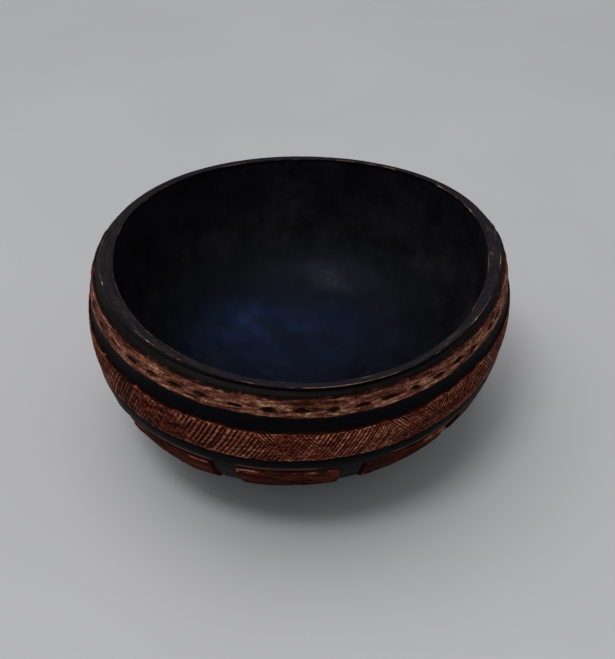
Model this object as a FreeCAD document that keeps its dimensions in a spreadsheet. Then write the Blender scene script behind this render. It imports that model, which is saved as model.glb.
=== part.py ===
import FreeCAD, Part
import math
import os

import Sketcher

# Carved wooden bowl, hollowed from one billet, 210 mm across and 98 mm tall.
# The origin is the centre of the flat base, +Z points up out of the mouth, sizes are in mm.
#
# From the mouth down, the outside is carved in zones that run right round the bowl:
#   rim, collar, upper carved band with gouges, plain channel, hatched band, lower bead,
#   a row of separate panels, and the plain underside with the flat base.
# The shell is the wall and floor behind them. Every zone is a skin that lies on the shell.

# ---------------------------------------------------------------- driving dimensions

DIMENSIONS = {
    # overall form
    "bowl_height": 98.0,
    "base_radius": 38.0,
    "underside_curve": 85.0,
    # borders between the zones: height, and radius of the proud wood surface there
    "z_rim": 96.0,
    "z_collar": 93.6,
    "radius_collar": 99.8,
    "z_upper": 84.1,
    "radius_upper": 102.3,
    "z_channel": 77.0,
    "radius_channel": 104.2,
    "z_hatched": 59.6,
    "radius_hatched": 103.7,
    "z_bead": 51.4,
    "radius_bead": 102.0,
    "z_panel": 31.5,
    "radius_panel": 92.6,
    # how deep a zone goes into the wall, and how far the dark zones are cut back
    "skin_depth": 3.0,
    "relief": 0.8,
    # how far each zone's face swells from the straight line between its borders
    "upper_bulge": 0.7,
    "channel_hollow": 0.7,
    "hatched_bulge": 1.0,
    "bead_bulge": 0.8,
    "panel_bulge": 1.2,
    # rim
    "rim_radius": 97.0,
    "rim_rounding": 0.7,
    "rim_undercut": 0.6,
    # hollow
    "mouth_radius": 92.2,
    "hollow_radius": 94.6,
    "z_hollow_widest": 70.0,
    "side_curve": 52.0,
    "floor_thickness": 10.0,
    # gouges of the upper carved band
    "gouge_count": 48,
    "gouge_length": 6.6,
    "gouge_width": 1.9,
    "gouge_depth": 1.3,
    "z_gouge": 88.0,
    # zigzag cuts of the hatched band
    "zigzag_count": 22,
    "zigzag_width": 1.1,
    "zigzag_depth": 0.9,
    "zigzag_margin": 1.6,
    # lower panels
    "panel_count": 11,
    "panel_start": 24.7,
    "panel_relief": 1.6,
    "panel_gap": 6.3,
    # how far a pocket reaches out past the wood that it clears
    "pocket_reach": 8.0,
}
FULL_TURN = 360
LEAST_CUT_VOLUME = 1.0
LENGTH_TOLERANCE = 1e-6

doc = FreeCAD.newDocument("carved_wooden_bowl")
sheet = doc.addObject("Spreadsheet::Sheet", "Sheet")
for row, (alias, number) in enumerate(DIMENSIONS.items(), start=1):
    sheet.set(f"A{row}", alias)
    sheet.set(f"B{row}", str(number))
    sheet.setAlias(f"B{row}", alias)
doc.recompute()


def value(expression):
    """The number that an expression over the sheet's aliases gives now."""
    result = sheet.evalExpression(expression)
    return float(getattr(result, "Value", result))


# ---------------------------------------------------------------- outlines

def origin_part(body, role):
    """The plane or axis of the body's own origin that has this role."""
    return next(part for part in body.Origin.OriginFeatures if part.Role == role)


def new_sketch(body, name, role):
    sketch = body.newObject("Sketcher::SketchObject", name)
    sketch.AttachmentSupport = [(origin_part(body, role), "")]
    sketch.MapMode = "FlatFace"
    return sketch


def drive(sketch, constraint, expression):
    """Add a dimension to the sketch and bind it to the sheet."""
    index = sketch.addConstraint(constraint)
    sketch.setExpression(f"Constraints[{index}]", expression)


def arc(start, end, radius):
    """The shorter arc that runs anticlockwise from start to end."""
    chord = end - start
    reach = math.sqrt(radius ** 2 - (chord.Length / 2) ** 2)
    leftward = FreeCAD.Vector(-chord.y, chord.x, 0).normalize()
    centre = (start + end) / 2 + leftward * reach
    angles = [math.atan2(point.y - centre.y, point.x - centre.x) for point in (start, end)]
    circle = Part.Circle(centre, FreeCAD.Vector(0, 0, 1), radius)
    return Part.ArcOfCircle(circle, angles[0], angles[1])


def curve_radius(start, end, swell):
    """The radius, as an expression, of an arc over two corners that swells this far."""
    across = f"(({end[0]}) - ({start[0]}))"
    along = f"(({end[1]}) - ({start[1]}))"
    return f"({across}^2 + {along}^2) / (8 * {swell}) + {swell} / 2"


def closed_profile(body, name, corners, swells=None, hollows=None, role="XZ_Plane"):
    """A closed outline drawn anticlockwise through corners, each a pair of expressions.

    Edge n runs from corner n to the next one. It is straight, or an arc that stands out
    by swells[n], or one that falls in by hollows[n].
    """
    swells = swells or {}
    hollows = hollows or {}
    sketch = new_sketch(body, name, role)
    points = [FreeCAD.Vector(value(x), value(y), 0) for x, y in corners]
    count = len(corners)
    first, last = {}, {}
    for edge in range(count):
        start, end = points[edge], points[(edge + 1) % count]
        swell = swells.get(edge) or hollows.get(edge)
        first[edge], last[edge] = (2, 1) if edge in hollows else (1, 2)
        if swell is None:
            sketch.addGeometry(Part.LineSegment(start, end))
            continue
        expression = curve_radius(corners[edge], corners[(edge + 1) % count], swell)
        radius = value(expression)
        sketch.addGeometry(arc(end, start, radius) if edge in hollows else arc(start, end, radius))
        drive(sketch, Sketcher.Constraint("Radius", edge, radius), expression)
    for edge in range(count):
        following = (edge + 1) % count
        sketch.addConstraint(
            Sketcher.Constraint("Coincident", edge, last[edge], following, first[following]))
        place_corner(sketch, edge, first[edge], points[edge], corners[edge])
    return sketch


def place_corner(sketch, edge, vertex, point, expressions):
    """Fix one corner at its distances from the sketch's origin."""
    kinds = (("DistanceX", point.x, -2, expressions[0]), ("DistanceY", point.y, -1, expressions[1]))
    for kind, distance, axis, expression in kinds:
        if abs(distance) < LENGTH_TOLERANCE:
            sketch.addConstraint(Sketcher.Constraint("PointOnObject", edge, vertex, axis))
        else:
            drive(sketch, Sketcher.Constraint(kind, -1, 1, edge, vertex, distance), expression)


def hollow_profile(body, name):
    """Half of the bowl's hollow: three tangent arcs, closed along the axis and over the mouth."""
    sketch = new_sketch(body, name, "XZ_Plane")
    top, mouth = value("bowl_height"), value("mouth_radius")
    widest, level = value("hollow_radius"), value("z_hollow_widest")
    floor, side = value("floor_thickness"), value("side_curve")
    side_centre = FreeCAD.Vector(widest - side, level, 0)
    drop = level - floor
    floor_curve = (side_centre.x ** 2 + drop ** 2 - side ** 2) / (2 * (drop - side))
    floor_centre = FreeCAD.Vector(0, floor + floor_curve, 0)
    towards_side = (side_centre - floor_centre).normalize()
    floor_low = FreeCAD.Vector(0, floor, 0)
    joint = floor_centre + towards_side * floor_curve
    belly = FreeCAD.Vector(widest, level, 0)
    lip = FreeCAD.Vector(mouth, top, 0)
    over_mouth = FreeCAD.Vector(0, top, 0)
    narrowing = widest - mouth
    upper_curve = ((top - level) ** 2 + narrowing ** 2) / (2 * narrowing)
    sketch.addGeometry([arc(floor_low, joint, floor_curve), arc(joint, belly, side),
                        arc(belly, lip, upper_curve), Part.LineSegment(lip, over_mouth),
                        Part.LineSegment(over_mouth, floor_low)])
    floor_arc, side_arc, upper_arc, mouth_line, axis_line = range(5)
    start, end, centre = 1, 2, 3
    sketch.addConstraint([
        Sketcher.Constraint("Tangent", floor_arc, end, side_arc, start),
        Sketcher.Constraint("Tangent", side_arc, end, upper_arc, start),
        Sketcher.Constraint("Coincident", upper_arc, end, mouth_line, start),
        Sketcher.Constraint("Coincident", mouth_line, end, axis_line, start),
        Sketcher.Constraint("Coincident", axis_line, end, floor_arc, start),
        Sketcher.Constraint("Horizontal", mouth_line),
        Sketcher.Constraint("PointOnObject", mouth_line, end, -2),
        Sketcher.Constraint("PointOnObject", axis_line, end, -2),
        Sketcher.Constraint("PointOnObject", floor_arc, centre, -2)])
    drive(sketch, Sketcher.Constraint("Radius", side_arc, side), "Sheet.side_curve")
    driven_points = (
        ("DistanceY", floor_arc, start, floor, "Sheet.floor_thickness"),
        ("DistanceX", upper_arc, start, widest, "Sheet.hollow_radius"),
        ("DistanceY", upper_arc, start, level, "Sheet.z_hollow_widest"),
        ("DistanceY", side_arc, centre, level, "Sheet.z_hollow_widest"),
        ("DistanceX", mouth_line, start, mouth, "Sheet.mouth_radius"),
        ("DistanceY", mouth_line, start, top, "Sheet.bowl_height"))
    for kind, edge, vertex, distance, expression in driven_points:
        drive(sketch, Sketcher.Constraint(kind, -1, 1, edge, vertex, distance), expression)
    return sketch


# ---------------------------------------------------------------- features

def new_body(name):
    body = doc.addObject("PartDesign::Body", name)
    body.Label = name
    return body


def revolve(body, sketch, turn=str(FULL_TURN)):
    feature = body.newObject("PartDesign::Revolution", f"{body.Name}_turned")
    feature.Profile = sketch
    feature.ReferenceAxis = (sketch, ["V_Axis"])
    feature.setExpression("Angle", turn)
    doc.recompute()
    return feature


def hollow_out(body):
    """Turn the bowl's hollow out of the body, and make sure that it took wood away."""
    before = body.Shape.Volume
    feature = body.newObject("PartDesign::Groove", f"{body.Name}_hollow")
    feature.Profile = hollow_profile(body, f"{body.Name}_hollow_outline")
    feature.ReferenceAxis = (feature.Profile[0], ["V_Axis"])
    feature.Angle = FULL_TURN
    doc.recompute()
    require_less_wood(body, before)


def require_less_wood(body, before):
    if not body.Shape.Volume < before - LEAST_CUT_VOLUME:
        raise RuntimeError(f"a cut in {body.Label} takes nothing away")


def sideways_sketch(body, name, outline, bearing, distance):
    """A closed outline on an upright plane that faces outwards at this bearing."""
    sketch = closed_profile(body, name, outline, role="YZ_Plane")
    turn = FreeCAD.Rotation(FreeCAD.Vector(0, 1, 0), bearing)
    sketch.AttachmentOffset = FreeCAD.Placement(FreeCAD.Vector(0, 0, 0), turn)
    sketch.setExpression("AttachmentOffset.Base.x", f"({distance}) * sin({bearing})")
    sketch.setExpression("AttachmentOffset.Base.z", f"({distance}) * cos({bearing})")
    return sketch


def cut_outwards(body, sketch, name):
    """Clear the wood that lies outside the sketch's plane, within its outline."""
    before = body.Shape.Volume
    feature = body.newObject("PartDesign::Pocket", name)
    feature.Profile = sketch
    feature.setExpression("Length", "Sheet.pocket_reach")
    feature.Reversed = True
    doc.recompute()
    require_less_wood(body, before)
    return feature


def repeat_round(body, cuts, count):
    before = body.Shape.Volume
    pattern = body.newObject("PartDesign::PolarPattern", f"{body.Name}_round")
    pattern.Originals = cuts
    pattern.Axis = (origin_part(body, "Z_Axis"), [""])
    pattern.Angle = FULL_TURN
    pattern.setExpression("Occurrences", count)
    body.Tip = pattern
    doc.recompute()
    require_less_wood(body, before)


# ---------------------------------------------------------------- sub-parts

BORDER_RADIUS = {"rim": "Sheet.rim_radius"}
for border in ("collar", "upper", "channel", "hatched", "bead", "panel"):
    BORDER_RADIUS[border] = f"Sheet.radius_{border}"


def on_border(border, inwards):
    """The point this far inside the wood's surface, at a border between two zones."""
    return (f"{BORDER_RADIUS[border]} - {inwards}", f"Sheet.z_{border}")


def core(border):
    return on_border(border, "Sheet.skin_depth")


def make_shell():
    """Wall, floor and underside: the wood behind the carved zones, hollowed from the mouth."""
    body = new_body("bowl_shell")
    ground_low = on_border("panel", "Sheet.panel_relief")
    ground_top = on_border("bead", "Sheet.panel_relief")
    corners = [("0", "0"), ("Sheet.base_radius", "0"), ground_low, ground_top,
               core("bead"), core("hatched"), core("channel"), core("upper"), core("collar"),
               core("rim"), ("0", "Sheet.z_rim")]
    # a chord c under an arc of radius R swells by R - sqrt(R^2 - c^2 / 4)
    width = f"({ground_low[0]} - Sheet.base_radius)"
    quarter_chord = f"({width}^2 + Sheet.z_panel^2) / 4"
    underside_swell = f"(Sheet.underside_curve - sqrt(Sheet.underside_curve^2 - {quarter_chord}))"
    swells = {1: underside_swell, 2: "Sheet.panel_bulge"}
    revolve(body, closed_profile(body, "shell_outline", corners, swells=swells))
    hollow_out(body)
    return body


def make_rim():
    """The flat lip: the full thickness of the wall, with both arrises worn round."""
    body = new_body("rim")
    corners = [("0", "Sheet.z_rim"), ("Sheet.rim_radius", "Sheet.z_rim"),
               ("Sheet.rim_radius", "Sheet.bowl_height"), ("0", "Sheet.bowl_height")]
    revolve(body, closed_profile(body, "rim_outline", corners))
    hollow_out(body)
    ring = body.Tip
    top = value("bowl_height") - LENGTH_TOLERANCE
    lip = [f"Edge{index}" for index, edge in enumerate(ring.Shape.Edges, start=1)
           if len(edge.Vertexes) == 1 and edge.BoundBox.ZMin > top]
    rounding = body.newObject("PartDesign::Fillet", "rim_rounded")
    rounding.Base = (ring, lip)
    rounding.setExpression("Radius", "Sheet.rim_rounding")
    doc.recompute()
    return body


def make_zone(name, above, below, inset_above="0", inset_below="0", swell=None, hollow=None):
    """A ring of skin between two borders. Insets set its face back from the wood's surface."""
    body = new_body(name)
    corners = [core(below), on_border(below, inset_below), on_border(above, inset_above),
               core(above)]
    swells = {1: swell} if swell else {}
    hollows = {1: hollow} if hollow else {}
    sketch = closed_profile(body, f"{name}_outline", corners, swells=swells, hollows=hollows)
    revolve(body, sketch)
    return body


def make_upper_band():
    """Proud band of fibrous exposed wood with a row of lozenge gouges right round it."""
    body = make_zone("upper_carved_band", "collar", "upper", swell="Sheet.upper_bulge")
    middle, half_width = "Sheet.z_gouge", "Sheet.gouge_width / 2"
    half_length = "Sheet.gouge_length / 2"
    lozenge = [("0", f"{middle} - {half_width}"), (half_length, middle),
               ("0", f"{middle} + {half_width}"), (f"-{half_length}", middle)]
    face = "(Sheet.radius_collar + Sheet.radius_upper) / 2 + Sheet.upper_bulge"
    plane = f"{face} - Sheet.gouge_depth"
    sketch = sideways_sketch(body, "gouge_outline", lozenge, 0, plane)
    gouge = cut_outwards(body, sketch, "gouge")
    repeat_round(body, [gouge], "Sheet.gouge_count")
    return body


def make_hatched_band():
    """Widest band. Zigzag cuts part it into triangles, point up and point down by turns."""
    body = make_zone("hatched_band", "channel", "hatched", swell="Sheet.hatched_bulge")
    half_cut = "Sheet.zigzag_width / 2"
    reach = "Sheet.radius_channel * sin(90 / Sheet.zigzag_count)"
    low = "Sheet.z_hatched + Sheet.zigzag_margin"
    high = "Sheet.z_channel - Sheet.zigzag_margin"
    face = "(Sheet.radius_channel + Sheet.radius_hatched) / 2 + Sheet.hatched_bulge"
    plane = f"{face} - Sheet.zigzag_depth"
    bearing = 90 / value("zigzag_count")
    cuts = []
    for name, lean in (("rising", 1), ("falling", -1)):
        foot, head = f"({-lean} * {reach})", f"({lean} * {reach})"
        stroke = [(f"{foot} - {half_cut}", low), (f"{foot} + {half_cut}", low),
                  (f"{head} + {half_cut}", high), (f"{head} - {half_cut}", high)]
        sketch = sideways_sketch(body, f"{name}_outline", stroke, lean * bearing, plane)
        cuts.append(cut_outwards(body, sketch, f"{name}_cut"))
    repeat_round(body, cuts, "Sheet.zigzag_count")
    return body


def make_panels():
    """A row of separate carved panels that stand out of the ground below the bead."""
    panels = []
    corners = [on_border("panel", "Sheet.panel_relief"), on_border("panel", "0"),
               on_border("bead", "0"), on_border("bead", "Sheet.panel_relief")]
    pitch = "360 / Sheet.panel_count"
    for index in range(int(value("panel_count"))):
        name = f"lower_panel_{index + 1:02d}"
        body = new_body(name)
        sketch = closed_profile(body, f"{name}_outline", corners,
                                swells={1: "Sheet.panel_bulge"}, hollows={3: "Sheet.panel_bulge"})
        revolve(body, sketch, f"{pitch} - Sheet.panel_gap")
        body.Placement = FreeCAD.Placement(
            FreeCAD.Vector(0, 0, 0), FreeCAD.Rotation(FreeCAD.Vector(0, 0, 1), 0))
        body.setExpression("Placement.Rotation.Angle", f"Sheet.panel_start + {index} * {pitch}")
        panels.append(body)
    return panels


subparts = [make_shell(), make_rim(),
            make_zone("collar", "rim", "collar", inset_above="Sheet.rim_undercut",
                      inset_below="Sheet.relief"),
            make_upper_band(),
            make_zone("channel_band", "upper", "channel", inset_above="Sheet.relief",
                      inset_below="Sheet.relief", hollow="Sheet.channel_hollow"),
            make_hatched_band(),
            make_zone("lower_bead", "hatched", "bead", inset_above="Sheet.relief",
                      swell="Sheet.bead_bulge")]
subparts += make_panels()
doc.recompute()

# ---------------------------------------------------------------- checks and files

for thing in doc.Objects:
    if {"Invalid", "Error"} & set(thing.State):
        raise RuntimeError(f"{thing.Label} failed: {thing.State}")
for body in subparts:
    if body.Shape.isNull() or not body.Shape.isValid():
        raise RuntimeError(f"{body.Label} has no valid shape")

os.makedirs("parts", exist_ok=True)
for body in subparts:
    body.Shape.exportStep(os.path.join("parts", f"{body.Label}.step"))
    print(f"{body.Label}: {body.Shape.Volume / 1000:.1f} cm3, {len(body.Shape.Solids)} solid")
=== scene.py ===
import math

import bpy
import numpy as np
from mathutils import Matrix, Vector


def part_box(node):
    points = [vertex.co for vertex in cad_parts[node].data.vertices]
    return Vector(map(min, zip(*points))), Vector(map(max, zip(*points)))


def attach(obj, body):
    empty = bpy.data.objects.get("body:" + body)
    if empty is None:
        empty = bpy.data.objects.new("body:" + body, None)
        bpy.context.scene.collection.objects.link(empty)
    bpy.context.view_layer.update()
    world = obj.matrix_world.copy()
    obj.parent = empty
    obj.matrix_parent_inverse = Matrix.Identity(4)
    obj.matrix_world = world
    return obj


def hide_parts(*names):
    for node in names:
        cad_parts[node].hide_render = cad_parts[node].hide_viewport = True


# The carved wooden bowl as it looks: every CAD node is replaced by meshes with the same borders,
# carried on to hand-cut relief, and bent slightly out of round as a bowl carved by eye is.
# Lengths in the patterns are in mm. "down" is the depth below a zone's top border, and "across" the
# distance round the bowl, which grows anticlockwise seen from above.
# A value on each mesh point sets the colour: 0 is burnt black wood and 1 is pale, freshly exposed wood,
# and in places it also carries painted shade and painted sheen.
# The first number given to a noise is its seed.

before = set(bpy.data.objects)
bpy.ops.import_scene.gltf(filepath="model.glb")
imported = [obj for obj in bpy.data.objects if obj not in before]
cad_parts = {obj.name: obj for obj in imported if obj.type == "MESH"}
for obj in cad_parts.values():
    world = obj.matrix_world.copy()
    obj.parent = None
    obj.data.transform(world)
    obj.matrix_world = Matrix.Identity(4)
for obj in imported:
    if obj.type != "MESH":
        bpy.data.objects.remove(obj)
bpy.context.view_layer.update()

MM = 0.001
SAME_LEVEL = 0.02
TURN = 2 * math.pi
NEAR = -math.pi / 2
BACK = math.pi / 2

# ---------------------------------------------------------------- form

BOWL_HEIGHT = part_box("rim")[1].z / MM
MOUTH_RADIUS = 92.2
HOLLOW_RADIUS = 94.6
HOLLOW_WIDEST = 70.0
HOLLOW_SIDE_CURVE = 52.0
FLOOR_THICKNESS = 10.0
UNDERSIDE_CURVE = 85.0
BASE_RADIUS = 38.0
PANEL_SWELL = 1.2

# The hidden surface inside the wood: radius and height of two points midway through the wall, and
# how far it starts inside the rim's outer face and inside the back of the bead.
MIDDLE_OF_WALL = ((60.0, 14.0), (86.0, 36.0))
HIDDEN_INSET_AT_RIM = 3.0
HIDDEN_INSET_AT_BEAD = 1.0

# How the bowl departs from a turned one: (waves round the bowl, cosine part, sine part).
# The first set is a share of the radius, the others are in mm at the rim.
OUT_OF_ROUND = ((2, 0.000, 0.016), (3, 0.011, 0.013), (4, -0.006, 0.003))
RIM_HEIGHT_WAVES = ((1, -2.0, 0.3), (2, 1.8, 1.8), (3, 0.4, -0.6))
INNER_EDGE_WAVES = ((1, 0.8, -1.1), (2, -1.4, -0.4), (3, -0.3, 0.2), (4, -0.3, -0.3))
OUTER_EDGE_WAVES = ((1, 0.4, -1.3), (2, 0.1, -0.5), (3, -0.1, 0.0), (4, 0.2, -0.1))
OUTER_EDGE_INSET = 0.4

# The heights at which the waves of the rim and of the hollow's wall set in.
RIM_WAVES_START = 30.0
INNER_WAVES_START = HOLLOW_WIDEST - 25

# ---------------------------------------------------------------- cut marks

# The level is a share of the band's height, from its top border. The outline is the power that
# shapes a gouge: 1 would be a straight-sided lozenge and 2 an ellipse.
GOUGE_COUNT = 48
GOUGE_LENGTH = 8.4
GOUGE_WIDTH = 2.6
GOUGE_DEPTH = 1.2
GOUGE_LEVEL = 0.56
GOUGE_OUTLINE = 1.6

# The leans are mm across for each mm down, and the last two are shares of a motif.
HATCH_PITCH = 1.9
HATCH_DEPTH = 0.5
FALLING_LEAN = 0.85
RISING_LEAN = 0.55
HATCH_MOTIFS = 11
HATCH_START = math.radians(-101.5)
FALLING_STOPS = 0.41
RISING_STARTS = 0.21

PIT_DEPTH = 0.3
PANEL_SIDE_DEPTH = 1.3

# Where worn lines run: above the bead's lower border, and below a panel's top border.
BEAD_WEAR_LEVEL = 2.3
PANEL_WEAR_LEVEL = 1.9

# Chosen so that one hasty stretch of hatching, and the brightest wear on the lip, lie roughly where
# the photo shows them.
HASTY_SEED = 473
LIP_WEAR_SEED = 5478


def smooth(value):
    return value * value * (3 - 2 * value)


def ramp(value, low, high):
    """0 below low, 1 above high, and an even rise between."""
    return smooth(np.clip((value - low) / (high - low), 0, 1))


def noise(seed, across, down, cell_across, cell_down, girth):
    """Smooth noise from -1 to 1 that closes up after one girth. The cells are in mm."""
    columns = max(4, round(girth / cell_across))
    rows, first_row = 211, 17
    table = np.random.default_rng(seed).uniform(-1, 1, (rows, columns))
    column = across / girth * columns
    row = down / cell_down + first_row
    left, above = np.floor(column).astype(int), np.floor(row).astype(int)
    s, t = smooth(column - left), smooth(row - above)
    left, right = left % columns, (left + 1) % columns
    above, below = above % rows, (above + 1) % rows
    upper = table[above, left] * (1 - s) + table[above, right] * s
    lower = table[below, left] * (1 - s) + table[below, right] * s
    return upper * (1 - t) + lower * t


def by_number(seed, number, count, low=-1.0, high=1.0):
    """One fixed random value for each cut, from its number round the bowl."""
    values = np.random.default_rng(seed).uniform(low, high, count)
    return values[number.astype(int) % count]


def solid_noise(seed, places, cell):
    """Smooth noise from -1 to 1 through space. The cell is in mm."""
    size = 16
    table = np.random.default_rng(seed).uniform(-1, 1, (size, size, size))
    place = places / cell
    low = np.floor(place).astype(int)
    share = smooth(place - low)
    total = 0
    for corner in np.ndindex(2, 2, 2):
        weight = np.prod(np.where(corner, share, 1 - share), axis=-1)
        i, j, k = np.moveaxis((low + corner) % size, -1, 0)
        total = total + weight * table[i, j, k]
    return total


def facing(across, girth):
    """1 on the side that faces the camera and 0 at the back."""
    return 0.5 + 0.5 * np.cos(across / girth * TURN - NEAR)


def bulge(share):
    """0 at both ends and 1 in the middle."""
    return 4 * share * (1 - share)


def waves(terms, angle):
    """Sum of waves round the bowl, each given as (count, cosine part, sine part)."""
    return sum(a * np.cos(n * angle) + b * np.sin(n * angle) for n, a, b in terms)


def hand_carved(points):
    """Bend turned points, in mm, as the real bowl departs from a turned one."""
    x, y, z = np.moveaxis(points, -1, 0)
    angle = np.arctan2(y, x)
    stretch = 1 + waves(OUT_OF_ROUND, angle)
    weight = np.clip((z - RIM_WAVES_START) / (BOWL_HEIGHT - RIM_WAVES_START), 0, 1)
    return np.stack([x * stretch, y * stretch, z + waves(RIM_HEIGHT_WAVES, angle) * weight], -1)


def lip_shift(angle, z):
    """How far the hollow's surface stands outside the turned one, in mm."""
    return waves(INNER_EDGE_WAVES, angle) * ramp(z, INNER_WAVES_START, BOWL_HEIGHT)


# ---------------------------------------------------------------- meshes

def add_piece(name, points, bareness_and_painted_light, closed_section, closed_around, replaced, slot, look=None):
    """A solid from a grid of points, whose rows run up its inner side and down its outer side."""
    rows, columns, _ = points.shape
    index = np.arange(rows * columns).reshape(rows, columns)
    for row in (0, -1):
        if np.ptp(points[row], axis=0).max() < 1e-9:
            index[row] = index[row, 0]
    used, flat = np.unique(index, return_inverse=True)
    index = flat.reshape(index.shape)
    ends = [] if closed_around else [index[::-1, 0].tolist(), index[:, -1].tolist()]
    if closed_section:
        index = np.vstack([index, index[:1]])
    if closed_around:
        index = np.hstack([index, index[:, :1]])
    quads = np.stack([index[:-1, :-1], index[1:, :-1], index[1:, 1:], index[:-1, 1:]], -1)
    faces = [list(dict.fromkeys(quad)) for quad in quads.reshape(-1, 4).tolist()]
    mesh = bpy.data.meshes.new(name)
    corners = hand_carved(points).reshape(-1, 3)[used] * MM
    mesh.from_pydata(corners.tolist(), [], faces + ends)
    mesh.attributes.new("bareness_and_painted_light", "FLOAT", "POINT").data.foreach_set(
        "value", bareness_and_painted_light.reshape(-1)[used].astype(np.float32))
    mesh.shade_smooth()
    mesh.set_sharp_from_angle(angle=math.radians(60))
    mesh.materials.append(materials[look or slot])
    piece = bpy.data.objects.new(name, mesh)
    bpy.context.scene.collection.objects.link(piece)
    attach(piece, "root")
    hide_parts(replaced)


def bearings(columns):
    """Even bearings once round the bowl, from its back."""
    return BACK + TURN * np.arange(columns) / columns


def round_the_axis(radius, z, angles):
    """Points (row, column) from radii and heights, which may differ from column to column."""
    radius, z, angles = np.broadcast_arrays(radius, z, angles)
    return np.stack([radius * np.cos(angles), radius * np.sin(angles), z], -1)


def corners_of(node):
    """Bearing, radius and height, in mm, of every corner of a CAD node."""
    places = np.array([corner.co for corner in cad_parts[node].data.vertices]) / MM
    return np.arctan2(places[:, 1], places[:, 0]), np.hypot(places[:, 0], places[:, 1]), places[:, 2]


def wall_at(node, height):
    """Inner and outer radius of a CAD ring at one of its borders."""
    _, radius, z = corners_of(node)
    level = radius[np.abs(z - height) < SAME_LEVEL]
    return level.min(), level.max()


class Zone:
    """A carved zone as its CAD node gives it, with the swell of its face."""

    def __init__(self, node, swell):
        self.node = node
        low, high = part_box(node)
        self.bottom, self.top = low.z / MM, high.z / MM
        self.height = self.top - self.bottom
        self.core_bottom, self.face_bottom = wall_at(node, self.bottom)
        self.core_top, self.face_top = wall_at(node, self.top)
        self.girth = TURN * (self.face_bottom + self.face_top) / 2
        self.swell = swell

    def face(self, down):
        """Radius and height of the uncut face, this far below the top border."""
        share = down / self.height
        radius = self.face_top + (self.face_bottom - self.face_top) * share
        return radius + self.swell * bulge(share), self.top - down

    def outward(self, down):
        """The face's outward direction, as (radial, upward) parts."""
        before, after = self.face(down - 0.01), self.face(down + 0.01)
        along = np.stack([after[0] - before[0], after[1] - before[1]])
        along = along / np.hypot(*along)
        return -along[1], along[0]


def spread(count, crowding=0.4):
    """Shares from 0 to 1, closer together at both ends by this share of their spacing."""
    even = np.linspace(0, 1, count)
    return even - crowding * np.sin(TURN * even) / TURN


def edge_rounding(distance, radius):
    """How far a rounded arris falls away, this far from the edge."""
    near = np.clip(1 - distance / radius, 0, 1)
    return radius * (1 - np.sqrt(1 - near ** 2))


def cut_block(zone, angles, down, relief, bareness_and_painted_light):
    """Points and bareness of a block whose cut face is closed by the two borders of its core."""
    radius, z = zone.face(down)
    outwards, upwards = zone.outward(down)
    core = np.ones_like(angles)
    radius = np.vstack([core * zone.core_top, radius + relief * outwards, core * zone.core_bottom])
    z = np.vstack([core * zone.top, z + relief * upwards, core * zone.bottom])
    return round_the_axis(radius, z, angles), np.vstack([core * 0, bareness_and_painted_light, core * 0])


def carve_zone(name, zone, pattern, slot, columns, rows, parts=1, arris=0.35, look=None):
    """One or more solids of a zone whose face is cut by pattern(across, down, zone)."""
    down = spread(rows) * zone.height
    for part in range(parts):
        start = BACK + TURN * part / parts
        angles = start + TURN / parts * np.linspace(0, 1, columns + 1)
        if parts == 1:
            angles = angles[:-1]
        across, depth = np.meshgrid(angles / TURN * zone.girth, down)
        relief, bareness_and_painted_light = pattern(across, depth, zone)
        relief = relief - edge_rounding(np.minimum(depth, zone.height - depth), arris)
        points, bareness_and_painted_light = cut_block(zone, angles, depth, relief, bareness_and_painted_light)
        label = name if parts == 1 else f"{name}_{part + 1}"
        add_piece(label, points, bareness_and_painted_light, closed_section=True, closed_around=parts == 1,
                  replaced=zone.node, slot=slot, look=look)


# ---------------------------------------------------------------- patterns

def chiselled(seed, across, down, girth):
    """Fibrous wood torn by short strokes along the band."""
    lumps = noise(seed, across, down, 17, 3.2, girth)
    strokes = noise(seed + 1, across, down + 1.3 * lumps, 6, 1.0, girth)
    fibres = noise(seed + 2, across, down + 0.3 * strokes, 3.6, 0.4, girth)
    flecks = noise(seed + 3, across, down, 2.4, 0.8, girth)
    relief = 0.25 * lumps + 0.20 * strokes + 0.12 * fibres
    bareness_and_painted_light = 0.55 + 0.15 * strokes + 0.11 * fibres + 0.19 * flecks + 0.08 * lumps
    return relief, bareness_and_painted_light


def ragged(seed, across, distance, girth, inset=0.3, reach=0.8):
    """1 on the band and 0 within an uneven dark margin along its edge."""
    edge = inset + 0.35 * noise(seed, across, distance * 0, 7, 1, girth)
    edge = edge + 0.25 * noise(seed + 1, across, distance * 0, 2.2, 1, girth)
    return ramp(distance, edge, edge + reach)


def gouge_cuts(across, down, zone):
    """1 in the middle of each lozenge gouge, falling to 0 at its outline."""
    pitch = zone.girth / GOUGE_COUNT
    number = np.floor(across / pitch + 0.5)
    middle = zone.height * GOUGE_LEVEL
    beside = across - (number + by_number(31, number, GOUGE_COUNT, -0.15, 0.15)) * pitch
    tilt = by_number(32, number, GOUGE_COUNT, -0.08, 0.08)
    above = down - middle - by_number(33, number, GOUGE_COUNT, -0.4, 0.4) - tilt * beside
    above = above + 0.3 * noise(35, across, down, 2.4, 1.2, zone.girth)
    length = GOUGE_LENGTH / 2 * by_number(34, number, GOUGE_COUNT, 0.75, 1.2)
    width = GOUGE_WIDTH / 2 * by_number(36, number, GOUGE_COUNT, 0.75, 1.15)
    reach = np.abs(beside / length) ** GOUGE_OUTLINE + np.abs(above / width) ** GOUGE_OUTLINE
    return np.clip(1 - reach, 0, 1)


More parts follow.
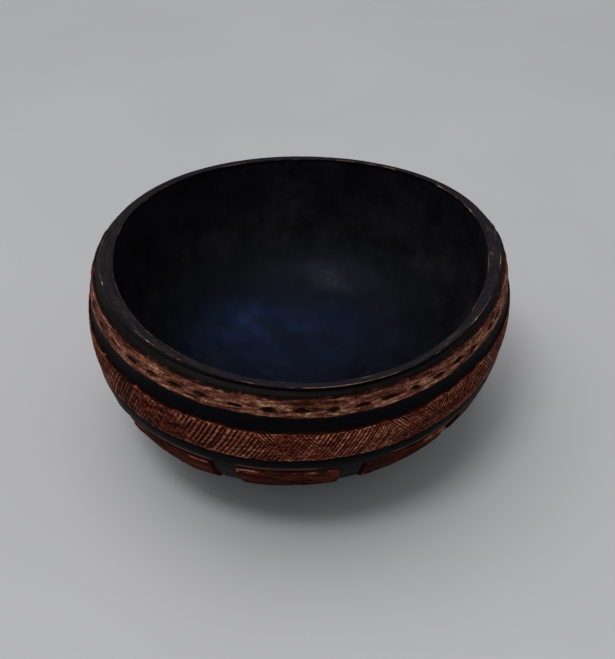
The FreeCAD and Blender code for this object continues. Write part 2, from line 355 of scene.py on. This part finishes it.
def upper_band(across, down, zone):
    """Chiselled light wood, redder near its top border, with a row of lozenge gouges."""
    girth = zone.girth
    relief, bareness_and_painted_light = chiselled(11, across, down, girth)
    gouge = gouge_cuts(across, down, zone)
    relief = relief * (1 - 0.7 * ramp(gouge, 0, 0.5)) - GOUGE_DEPTH * gouge ** 0.7
    upward = 1 - 2 * down / zone.height
    reddish = ramp(noise(19, across, down, 9, 2.4, girth) + 0.35 * upward, 0.0, 0.8)
    cream = ramp(noise(20, across, down, 6, 1.1, girth) - 0.25 * upward, 0.3, 0.85)
    bareness_and_painted_light = (bareness_and_painted_light - 0.22 * reddish + 0.20 * cream) * (1 - 1.05 * ramp(gouge, 0.0, 0.4))
    bareness_and_painted_light = bareness_and_painted_light * ragged(15, across, down, girth)
    bareness_and_painted_light = bareness_and_painted_light * ragged(17, across, zone.height - down, girth)
    return relief, bareness_and_painted_light


def knife_cuts(seed, start, down, zone):
    """0 to 1 across V cuts that start this far along the top edge, unevenly set and pressed."""
    count = round(zone.girth / HATCH_PITCH)
    crowding = 5 * noise(seed + 5, start, start * 0, 45, 1, zone.girth)
    place = (start + crowding) / zone.girth * count
    number = np.floor(place)
    offset = place - number - 0.5 - by_number(seed, number, count, -0.16, 0.16)
    half_width = by_number(seed + 1, number, count, 0.28, 0.46)
    force = by_number(seed + 2, number, count, 0.65, 1.1)
    first = by_number(seed + 3, number, count, 0.1, 1.2)
    last = by_number(seed + 4, number, count, 0.1, 1.3)
    stroke = ramp(down, first, first + 0.5) * ramp(zone.height - down, last, last + 0.5)
    return np.clip(1 - np.abs(offset) / half_width, 0, 1) * force * stroke


def hatched_band(across, down, zone):
    """Cuts that fall to the right, crossed in part by cuts that rise, with hasty, pitted stretches."""
    girth = zone.girth
    sway = noise(41, across, down, 24, 9, girth)
    fall_start = across - FALLING_LEAN * down + 0.35 * sway
    rise_start = across + RISING_LEAN * down - 0.35 * sway
    motif = girth / HATCH_MOTIFS
    first = HATCH_START / TURN * girth
    unsteady = 0.8 * noise(42, across, down, 4, 3, girth)
    fall_share = (fall_start - first + unsteady) / motif % 1
    rise_share = (rise_start - first + unsteady) / motif % 1
    falling = fall_share < FALLING_STOPS
    rising = ~falling | (rise_share > RISING_STARTS)
    crossed = falling & rising
    cuts = np.maximum(knife_cuts(43, fall_start, down, zone) * falling,
                      knife_cuts(53, rise_start, down, zone) * rising * (1 - 0.35 * crossed))
    hasty = ramp(noise(HASTY_SEED, across, down * 0, 20, 1, girth), 0.1, 0.6)
    pits = hasty * ramp(noise(49, across, down, 1.7, 1.3, girth), 0.0, 0.7)
    cuts = cuts * (1 - 0.25 * hasty)
    lumps = noise(44, across, down, 14, 6, girth)
    flecks = noise(45, across, down, 1.3, 0.8, girth)
    dull = ramp(noise(47, across, down, 9, 5, girth), 0.1, 0.8)
    relief = 0.18 * lumps + 0.08 * flecks - HATCH_DEPTH * cuts - PIT_DEPTH * pits
    bareness_and_painted_light = 0.69 + 0.10 * lumps + 0.19 * flecks - 0.14 * dull - (0.74 - 0.24 * crossed) * cuts ** 0.7
    bareness_and_painted_light = bareness_and_painted_light - 0.10 * hasty - 0.20 * pits
    bareness_and_painted_light = bareness_and_painted_light * ragged(46, across, down, girth, 0.1, 0.6)
    bareness_and_painted_light = bareness_and_painted_light * ragged(48, across, zone.height - down, girth, 0.1, 0.6)
    return relief, bareness_and_painted_light


def worn_arris(seed, across, girth, near_share):
    """0 to 1 for wear along an edge: patchy, and heaviest on the near side."""
    patches = noise(seed, across, across * 0, 16, 1, girth)
    patches = patches + 0.6 * noise(seed + 1, across, across * 0, 4, 1, girth)
    return ramp(patches + near_share * facing(across, girth), 0.0, 1.1)


def dark_zone(seed):
    """A burnt, burnished zone with faint tool marks along it."""
    def pattern(across, down, zone):
        girth = zone.girth
        marks = noise(seed, across, down, 26, 1.6, girth)
        swells = noise(seed + 1, across, down, 12, 5, girth)
        relief = 0.05 * marks + 0.10 * swells
        bareness_and_painted_light = 0.04 + 0.03 * marks + 0.02 * noise(seed + 2, across, down, 3, 1.2, girth)
        return relief, bareness_and_painted_light
    return pattern


def collar(across, down, zone):
    """A burnished slope, parted from the lip by a scored line. Painted shade darkens the scored line
    under the lip, and painted sheen makes the slope paler on its upper half and away from the near
    side.
    """
    relief, bareness_and_painted_light = dark_zone(81)(across, down, zone)
    # Painted sheen: paler towards the sides and back of the bowl.
    from_lip = ramp(down, 0.3, 0.9)
    away = 1 - facing(across, zone.girth)
    # Painted shade in the scored line under the lip, and painted sheen on the upper half, which leaves
    # the lower half darker.
    shade = (0.4 + 0.6 * from_lip) * (1 - 0.4 * ramp(down / zone.height, 0.5, 1.0))
    return relief - 0.3 * (1 - from_lip), (bareness_and_painted_light + 0.02 + 0.11 * away) * shade


def bead(across, down, zone):
    """A burnt bead, rubbed to the wood in a line just above its lower border."""
    relief, bareness_and_painted_light = dark_zone(71)(across, down, zone)
    from_line = np.abs(zone.height - down - BEAD_WEAR_LEVEL)
    wear = worn_arris(74, across, zone.girth, 0.8) * (1 - ramp(from_line, 0.3, 0.9))
    return relief, np.maximum(bareness_and_painted_light, 0.46 * wear)


# ---------------------------------------------------------------- hollow and underside

def arc_points(centre, radius, start, stop, step):
    """Radii and heights along an arc, without its last point."""
    count = max(2, round(abs(stop - start) * radius / step))
    angle = np.linspace(start, stop, count, endpoint=False)
    return np.stack([centre[0] + radius * np.cos(angle), centre[1] + radius * np.sin(angle)], -1)


def hollow_section(top, step):
    """The hollow from the middle of its floor up to the mouth: three tangent arcs."""
    side_centre = (HOLLOW_RADIUS - HOLLOW_SIDE_CURVE, HOLLOW_WIDEST)
    drop = HOLLOW_WIDEST - FLOOR_THICKNESS
    floor_curve = (side_centre[0] ** 2 + drop ** 2 - HOLLOW_SIDE_CURVE ** 2) / (
        2 * (drop - HOLLOW_SIDE_CURVE))
    floor_centre = (0, FLOOR_THICKNESS + floor_curve)
    joint = math.atan2(HOLLOW_WIDEST - floor_centre[1], side_centre[0])
    rise, narrowing = BOWL_HEIGHT - HOLLOW_WIDEST, HOLLOW_RADIUS - MOUTH_RADIUS
    lip_curve = (rise ** 2 + narrowing ** 2) / (2 * narrowing)
    lip_centre = (HOLLOW_RADIUS - lip_curve, HOLLOW_WIDEST)
    lip_end = math.asin((top - HOLLOW_WIDEST) / lip_curve)
    last = [lip_centre[0] + lip_curve * math.cos(lip_end), top]
    return np.vstack([arc_points(floor_centre, floor_curve, NEAR, joint, step),
                      arc_points(side_centre, HOLLOW_SIDE_CURVE, joint, 0, step),
                      arc_points(lip_centre, lip_curve, 0, lip_end, step), [last]])


def push_along_normals(points, distance):
    """Move a grid of points along its own normals, leaving its poles on the axis."""
    next_row = np.gradient(points, axis=0)
    next_column = np.roll(points, -1, axis=1) - np.roll(points, 1, axis=1)
    normal = np.cross(next_row, next_column)
    length = np.linalg.norm(normal, axis=-1, keepdims=True)
    normal = normal / np.maximum(length, 1e-9)
    return points + normal * distance[..., None] * (length > 1e-6)


def middle_of_wall():
    """Hidden surface inside the wood where the inside piece meets the outside piece."""
    bead_zone = zones["lower_bead"]
    return np.array([(0.0, FLOOR_THICKNESS / 2), *MIDDLE_OF_WALL,
                     (bead_zone.core_bottom - HIDDEN_INSET_AT_BEAD, bead_zone.bottom)])


def make_inside(columns=560, step=1.15):
    """The hollow, dressed smooth by hand, on the inner half of the wall."""
    angles = bearings(columns)
    rim_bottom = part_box("rim")[0].z / MM
    section = hollow_section(rim_bottom, step)
    radius = section[:, :1] + lip_shift(angles[None, :], section[:, 1:])
    surface = round_the_axis(radius, section[:, 1:], angles)
    swells = solid_noise(5, surface, 15) + 0.4 * solid_noise(6, surface, 6)
    surface[1:-1] = push_along_normals(surface, 0.22 * swells)[1:-1]
    _, outer = wall_at("rim", rim_bottom)
    back = np.vstack([[outer - HIDDEN_INSET_AT_RIM, rim_bottom], middle_of_wall()[::-1]])
    hidden = round_the_axis(back[:, :1], back[:, 1:], angles)
    # Painted shade: the hollow is darker on its floor and paler up its wall.
    painted_shade_on_floor = 0.02 + 0.14 * ramp(surface[..., 2], 14, 62)
    bareness_and_painted_light = np.vstack([painted_shade_on_floor + 0.03 * swells, np.zeros(hidden.shape[:2])])
    add_piece("inside", np.concatenate([surface, hidden]), bareness_and_painted_light, closed_section=False,
              closed_around=True, replaced="bowl_shell", slot="blackened_wood", look="waxed_hollow")


def underside_section(step):
    """From the bead down the ground between the panels, round the underside, to the base."""
    panel = Zone("lower_panel_01", PANEL_SWELL)
    share = np.linspace(0, 1, 24)
    ground = np.stack([panel.core_top + (panel.core_bottom - panel.core_top) * share
                       + PANEL_SWELL * bulge(share), panel.top - panel.height * share], -1)
    chord = np.array([panel.core_bottom - BASE_RADIUS, panel.bottom])
    length = np.hypot(*chord)
    reach = math.sqrt(UNDERSIDE_CURVE ** 2 - length ** 2 / 4)
    middle = np.array([BASE_RADIUS, 0.0]) + chord / 2
    centre = middle + np.array([-chord[1], chord[0]]) / length * reach
    start = math.atan2(panel.bottom - centre[1], panel.core_bottom - centre[0])
    stop = math.atan2(-centre[1], BASE_RADIUS - centre[0])
    curve = arc_points(centre, UNDERSIDE_CURVE, start, stop, step)
    base = np.linspace([BASE_RADIUS, 0.0], [0.0, 0.0], round(BASE_RADIUS / step))
    return np.vstack([ground, curve, base])


def make_outside(columns=560, step=1.2):
    """Ground between the panels, plain underside and flat base, on the outer half of the wall."""
    angles = bearings(columns)
    section = underside_section(step)
    surface = round_the_axis(section[:, :1], section[:, 1:], angles)
    swells = solid_noise(9, surface, 13) + 0.4 * solid_noise(10, surface, 5)
    raised = ramp(surface[..., 2], 0.0, 3.0)
    surface[1:-1] = push_along_normals(surface, 0.2 * swells * raised)[1:-1]
    surface[..., 2] = np.maximum(surface[..., 2], 0)
    front = middle_of_wall()
    hidden = round_the_axis(front[:, :1], front[:, 1:], angles)
    bareness_and_painted_light = np.vstack([np.zeros(hidden.shape[:2]), 0.06 + 0.05 * swells * raised])
    add_piece("underside", np.concatenate([hidden, surface]), bareness_and_painted_light, closed_section=False,
              closed_around=True, replaced="bowl_shell", slot="blackened_wood")


# ---------------------------------------------------------------- rim

def make_rim(columns=1100):
    """The flat lip, its arrises worn round, knocked and rubbed through to the wood.

    Rows run up the inner wall, over the inner arris, across the flat, over the outer arris and down.
    """
    low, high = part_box("rim")
    bottom, top = low.z / MM, high.z / MM
    _, outer = wall_at("rim", bottom)
    angles = bearings(columns)
    girth = TURN * outer
    across = angles / TURN * girth
    level = across * 0
    inner_top = hollow_section(top, 1.0)[-1, 0] + lip_shift(angles, top)
    inner_bottom = hollow_section(bottom, 1.0)[-1, 0] + lip_shift(angles, bottom)
    outer_top = outer - OUTER_EDGE_INSET + waves(OUTER_EDGE_WAVES, angles)
    chips = np.clip(noise(63, across, level, 5, 1, girth) - 0.5, 0, 1)
    knocks = np.clip(noise(60, across, level, 3.4, 1, girth) - 0.45, 0, 1)
    inner_round = 0.45 + 0.25 * noise(61, across, level, 19, 1, girth) + 1.2 * chips
    outer_round = 0.40 + 0.15 * noise(62, across, level, 15, 1, girth) + 0.4 * knocks
    rubbed_out = worn_arris(LIP_WEAR_SEED, across, girth, 0.5)
    rubbed_in = worn_arris(66, across, girth, 0.2)
    handled = ramp(noise(72, across, level, 28, 1, girth), 0.2, 0.8)
    rows = []

    def add_row(radius, z, bareness_and_painted_light):
        rows.append(np.broadcast_arrays(radius, z, bareness_and_painted_light))

    for share in np.linspace(0, 0.8, 4):
        add_row(inner_bottom + (inner_top - inner_bottom) * share,
                bottom + (top - bottom - inner_round) * share, 0.05)
    for turn in np.linspace(0, math.pi / 2, 7):
        add_row(inner_top + inner_round * (1 - math.cos(turn)),
                top - inner_round * (1 - math.sin(turn)),
                0.10 + (0.4 * rubbed_in + 0.5 * chips) * math.sin(2 * turn))
    flat_start, flat_end = inner_top + inner_round, outer_top - outer_round
    for share in np.linspace(0.08, 0.92, 18):
        marks = noise(67, across, level + share * 5, 9, 1.4, girth)
        scratches = noise(69, across, level + share * 5, 3, 0.35, girth)
        add_row(flat_start + (flat_end - flat_start) * share, top + 0.10 * marks + 0.04 * scratches,
                0.14 + 0.07 * marks + 0.06 * scratches + 0.22 * handled * ramp(scratches, 0.3, 0.8))
    for turn in np.linspace(math.pi / 2, 0, 8):
        strip = max(0.0, math.sin(2.8 * turn - 1.0)) ** 2
        add_row(outer_top - outer_round * (1 - math.cos(turn)),
                top - outer_round * (1 - math.sin(turn)),
                0.10 + (0.55 * rubbed_out + 1.2 * knocks) * strip)
    for share in np.linspace(0.2, 1, 5):
        add_row(outer_top + (outer - outer_top) * share,
                top - outer_round + (bottom - top + outer_round) * share, 0.04)
    radius, z, bareness_and_painted_light = (np.stack(values) for values in zip(*rows))
    add_piece("rim_lip", round_the_axis(radius, z, angles), bareness_and_painted_light, closed_section=True,
              closed_around=True, replaced="rim", slot="rim_wood")


# ---------------------------------------------------------------- panels

def panel_span(node):
    """First and last bearing of a CAD panel, in radians."""
    bearing, _, _ = corners_of(node)
    middle = math.atan2(np.sin(bearing).mean(), np.cos(bearing).mean())
    beside = (bearing - middle + math.pi) % TURN - math.pi
    return middle + beside.min(), middle + beside.max()


def make_panel(node, number, columns=150, rows=64):
    """A raised rectangle, chiselled along its length, with hand-cut sides, its colour held dark as
    painted shade and darkest towards its lower border.
    """
    zone = Zone(node, PANEL_SWELL)
    start, stop = panel_span(node)
    angles = start + (stop - start) * spread(columns, 0.48)
    down = spread(rows) * zone.height
    across, depth = np.meshgrid(angles / TURN * zone.girth, down)
    relief, bareness_and_painted_light = chiselled(100 + 7 * number, across, depth, zone.girth)
    wander = 0.5 * noise(300 + number, across, depth, 6, 4, zone.girth)
    from_side = np.minimum(across - across[:, :1], across[:, -1:] - across) + wander
    from_border = np.minimum(depth, zone.height - depth) + 0.5 * wander
    within = np.minimum(from_side, from_border)
    relief = relief - PANEL_SIDE_DEPTH * (1 - ramp(within, -0.4, 0.8))
    # Painted shade: these random patches also hold the whole panel dark, and the last factor below
    # darkens it towards its lower border.
    patches = 0.52 + 0.34 * noise(500 + number, across, depth, 9, 5, zone.girth)
    bareness_and_painted_light = bareness_and_painted_light * patches * (0.2 + 0.8 * ramp(within, 0.0, 1.2)) * (1 - 0.5 * depth / zone.height)
    from_line = np.abs(depth - PANEL_WEAR_LEVEL)
    edge_line = worn_arris(400 + number, across, zone.girth, 0.5) * (1 - ramp(from_line, 0.4, 1.1))
    bareness_and_painted_light = np.maximum(bareness_and_painted_light, 0.8 * edge_line * ramp(from_side, 0.5, 1.5))
    rubbed = ramp(noise(600 + number, across, depth, 4, 2, zone.girth), 0.35, 0.8)
    bareness_and_painted_light = np.maximum(bareness_and_painted_light, 0.75 * rubbed * ramp(from_side, 0.0, 1.0) * (1 - ramp(from_side, 2.0, 5.0)))
    points, bareness_and_painted_light = cut_block(zone, angles, depth, relief, bareness_and_painted_light)
    add_piece(f"panel_{number:02d}", points, bareness_and_painted_light, closed_section=True, closed_around=False,
              replaced=node, slot="panel_wood")


# ---------------------------------------------------------------- materials

def linear(red, green, blue):
    """A colour given in 0 to 255 display values, as Blender's scene values."""
    def channel(value):
        value /= 255
        return value / 12.92 if value <= 0.04045 else ((value + 0.055) / 1.055) ** 2.4
    return (channel(red), channel(green), channel(blue), 1.0)


class Material:
    """A node material under construction."""

    def __init__(self, name):
        self.material = bpy.data.materials.new("look_" + name)
        self.material.use_nodes = True
        self.tree = self.material.node_tree
        self.shader = self.tree.nodes["Principled BSDF"]
        self.place = self.tree.nodes.new("ShaderNodeTexCoord").outputs["Object"]

    def link(self, source, target):
        self.tree.links.new(source, target)

    def stretched(self, x, y, z):
        """The place on the bowl, scaled so that one unit is this many mm along X, Y and Z."""
        node = self.tree.nodes.new("ShaderNodeMapping")
        node.inputs["Scale"].default_value = (1 / (x * MM), 1 / (y * MM), 1 / (z * MM))
        self.link(self.place, node.inputs["Vector"])
        return node.outputs["Vector"]

    def noise(self, vector, detail=3.0, roughness=0.55, distortion=0.0):
        node = self.tree.nodes.new("ShaderNodeTexNoise")
        node.inputs["Scale"].default_value = 1.0
        node.inputs["Detail"].default_value = detail
        node.inputs["Roughness"].default_value = roughness
        node.inputs["Distortion"].default_value = distortion
        self.link(vector, node.inputs["Vector"])
        return node.outputs["Fac"]

    def math(self, operation, *values):
        node = self.tree.nodes.new("ShaderNodeMath")
        node.operation = operation
        for socket, value in zip(node.inputs, values):
            if isinstance(value, (int, float)):
                socket.default_value = value
            else:
                self.link(value, socket)
        return node.outputs["Value"]

    def between(self, value, low, high):
        """Map noise, which keeps to 0.3 to 0.7, on to low to high."""
        node = self.tree.nodes.new("ShaderNodeMapRange")
        node.inputs["From Min"].default_value = 0.3
        node.inputs["From Max"].default_value = 0.7
        node.inputs["To Min"].default_value = low
        node.inputs["To Max"].default_value = high
        self.link(value, node.inputs["Value"])
        return node.outputs["Result"]

    def colour_ramp(self, value, stops):
        node = self.tree.nodes.new("ShaderNodeValToRGB")
        elements = node.color_ramp.elements
        while len(elements) < len(stops):
            elements.new(0.5)
        for element, (position, colour) in zip(elements, stops):
            element.position = position
            element.color = colour
        self.link(value, node.inputs["Fac"])
        return node.outputs["Color"]

    def attribute(self, name):
        node = self.tree.nodes.new("ShaderNodeAttribute")
        node.attribute_name = name
        return node.outputs["Fac"]

    def bump(self, height, distance, base=None):
        node = self.tree.nodes.new("ShaderNodeBump")
        node.inputs["Distance"].default_value = distance * MM
        node.inputs["Strength"].default_value = 1.0
        self.link(height, node.inputs["Height"])
        if base is not None:
            self.link(base, node.inputs["Normal"])
        return node.outputs["Normal"]


def wood(name, stops, roughness, specular, speckle, grain_size=(14, 14, 0.5), bump=0.08,
         painted_sheen_tint=(1.0, 1.0, 1.0)):
    """Wood whose colour follows "bare" through the stops, broken up by grain and by fine specks."""
    made = Material(name)
    grain = made.noise(made.stretched(*grain_size), detail=4, roughness=0.6, distortion=0.3)
    pores = made.noise(made.stretched(1.1, 1.1, 0.6), detail=2)
    clouds = made.noise(made.stretched(22, 22, 16), detail=3)
    level = made.math("ADD", made.attribute("bareness_and_painted_light"), made.between(grain, -speckle, speckle))
    level = made.math("ADD", level, made.between(pores, -speckle * 0.8, speckle * 0.8))
    level = made.math("ADD", level, made.between(clouds, -0.04, 0.04))
    made.link(made.colour_ramp(level, stops), made.shader.inputs["Base Color"])
    gloss = made.math("ADD", made.between(clouds, roughness[0], roughness[1]),
                      made.between(pores, -0.05, 0.05))
    made.link(gloss, made.shader.inputs["Roughness"])
    surface = made.bump(grain, bump)
    made.link(made.bump(pores, bump * 0.6, base=surface), made.shader.inputs["Normal"])
    made.shader.inputs["Specular IOR Level"].default_value = specular
    # Tints the reflections; a blue tint is painted sheen.
    made.shader.inputs["Specular Tint"].default_value = (*painted_sheen_tint, 1.0)
    return made.material


def make_materials():
    """Every look. The stops give the colour at each value of "bare"."""
    burnt = ((0.0, linear(5, 4, 5)), (0.10, linear(8, 6, 8)), (0.22, linear(28, 19, 17)),
             (0.45, linear(88, 58, 46)))
    waxed = ((0.0, linear(8, 8, 10)), (0.10, linear(18, 17, 20)), (0.22, linear(35, 32, 36)),
             (0.45, linear(96, 98, 108)))
    rubbed = ((0.0, linear(8, 7, 8)), (0.15, linear(25, 19, 18)), (0.35, linear(52, 39, 33)),
              (0.6, linear(128, 102, 84)), (0.9, linear(205, 185, 165)))
    exposed = ((0.0, linear(18, 9, 7)), (0.2, linear(60, 26, 16)), (0.45, linear(87, 46, 33)),
               (0.7, linear(126, 84, 65)), (1.0, linear(182, 142, 115)))
    reddish = ((0.0, linear(20, 4, 0)), (0.2, linear(52, 12, 4)), (0.42, linear(86, 34, 20)),
               (0.66, linear(124, 69, 49)), (0.95, linear(180, 134, 110)))
    return {
        # The blue tints on the reflections of the black wood and of the hollow are painted sheen.
        "blackened_wood": wood("blackened_wood", burnt, (0.45, 0.6), specular=0.05, speckle=0.05,
                               grain_size=(30, 5, 5), bump=0.04, painted_sheen_tint=(0.75, 0.85, 1.0)),
        "waxed_hollow": wood("waxed_hollow", waxed, (0.3, 0.6), specular=0.14, speckle=0.035,
                             grain_size=(7, 7, 12), bump=0.05, painted_sheen_tint=(0.6, 0.75, 1.0)),
        "rim_wood": wood("rim_wood", rubbed, (0.5, 0.65), specular=0.10, speckle=0.07,
                         grain_size=(9, 1.2, 1.2), bump=0.06),
        "carved_wood": wood("carved_wood", exposed, (0.65, 0.8), specular=0.06, speckle=0.26),
        "hatched_wood": wood("hatched_wood", reddish, (0.6, 0.75), specular=0.05, speckle=0.2,
                             grain_size=(9, 9, 0.6), bump=0.06),
        "panel_wood": wood("panel_wood", reddish, (0.65, 0.8), specular=0.03, speckle=0.26),
    }


# ---------------------------------------------------------------- studio

def make_floor():
    """Plain, pale paper under the bowl."""
    mesh = bpy.data.meshes.new("floor")
    half = 4.0
    mesh.from_pydata([(-half, -half, 0), (half, -half, 0), (half, half, 0), (-half, half, 0)],
                     [], [(0, 1, 2, 3)])
    made = Material("floor_paper")
    clouds = made.noise(made.stretched(300, 300, 300))
    made.link(made.colour_ramp(clouds, ((0.3, linear(187, 188, 190)), (0.7, linear(193, 194, 196)))),
              made.shader.inputs["Base Color"])
    made.shader.inputs["Roughness"].default_value = 0.9
    mesh.materials.append(made.material)
    floor = bpy.data.objects.new("floor", mesh)
    bpy.context.scene.collection.objects.link(floor)


def add_light(kind, name, place, power, colour):
    """A lamp that shines on the origin."""
    light = bpy.data.lights.new(name, kind)
    light.energy = power
    light.color = colour
    lamp = bpy.data.objects.new(name, light)
    lamp.location = place
    lamp.rotation_mode = "QUATERNION"
    lamp.rotation_quaternion = Vector(place).to_track_quat("Z", "Y")
    bpy.context.scene.collection.objects.link(lamp)
    return lamp


def add_softbox(name, place, size, power, colour):
    """A soft rectangular lamp of this width and height."""
    lamp = add_light("AREA", name, place, power, colour)
    lamp.data.shape = "RECTANGLE"
    lamp.data.size, lamp.data.size_y = size
    return lamp


def make_studio():
    """A broad sky light, a softbox for the near side, and a blue window seen only in reflections."""
    world = bpy.data.worlds.new("studio")
    world.use_nodes = True
    background = world.node_tree.nodes["Background"]
    background.inputs["Color"].default_value = (0.95, 0.97, 1.0, 1.0)
    background.inputs["Strength"].default_value = 0.36
    scene = bpy.context.scene
    scene.world = world
    scene.view_settings.view_transform = "Standard"
    sky = add_light("SUN", "sky", place=(-0.3, 0.2, 1.2), power=1.1, colour=(1.0, 0.95, 0.9))
    sky.data.angle = math.radians(60)
    sky.visible_glossy = False
    add_softbox("ceiling", place=(-0.28, -0.42, 1.2), size=(0.4, 0.25), power=4,
                colour=(0.95, 0.96, 1.0))
    window = add_softbox("window", place=(0.15, 0.5, 1.2), size=(0.6, 0.35), power=5,
                         colour=(0.22, 0.4, 1.0))
    window.visible_diffuse = False
    make_floor()


def make_camera():
    """At the photo's viewing angle, looking down on the near side from half a metre away."""
    distance, elevation = 508, math.radians(37.3)
    middle = Vector((0, 0, 60))
    aim = Vector((4.1, -5.9, 52.3))
    place = middle + Vector((0, -math.cos(elevation), math.sin(elevation))) * distance
    camera = bpy.data.cameras.new("camera")
    camera.sensor_width = 36
    camera.lens = 54.6
    camera.clip_start = 0.01
    viewer = bpy.data.objects.new("camera", camera)
    viewer.location = place * MM
    viewer.rotation_mode = "QUATERNION"
    viewer.rotation_quaternion = (aim - place).to_track_quat("-Z", "Y")
    bpy.context.scene.collection.objects.link(viewer)
    bpy.context.scene.camera = viewer


# ---------------------------------------------------------------- the bowl

zones = {
    "collar": Zone("collar", swell=0.0),
    "upper_carved_band": Zone("upper_carved_band", swell=0.7),
    "channel_band": Zone("channel_band", swell=-0.7),
    "hatched_band": Zone("hatched_band", swell=1.0),
    "lower_bead": Zone("lower_bead", swell=0.8),
}
materials = make_materials()
make_inside()
make_outside()
make_rim()
# The collar slope takes the rim's paler colours, which carry its painted sheen.
carve_zone("collar_slope", zones["collar"], collar, "blackened_wood", columns=900, rows=20,
           arris=0.2, look="rim_wood")
carve_zone("upper_band", zones["upper_carved_band"], upper_band, "carved_wood", columns=460,
           rows=46, parts=4)
carve_zone("channel", zones["channel_band"], dark_zone(91), "blackened_wood", columns=900, rows=30,
           arris=0.2)
carve_zone("hatching", zones["hatched_band"], hatched_band, "hatched_wood", columns=690, rows=78,
           parts=4)
carve_zone("bead", zones["lower_bead"], bead, "blackened_wood", columns=1000, rows=36, arris=0.6)
panel_nodes = sorted(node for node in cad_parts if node.startswith("lower_panel"))
for number, node in enumerate(panel_nodes, start=1):
    make_panel(node, number)

make_studio()
make_camera()
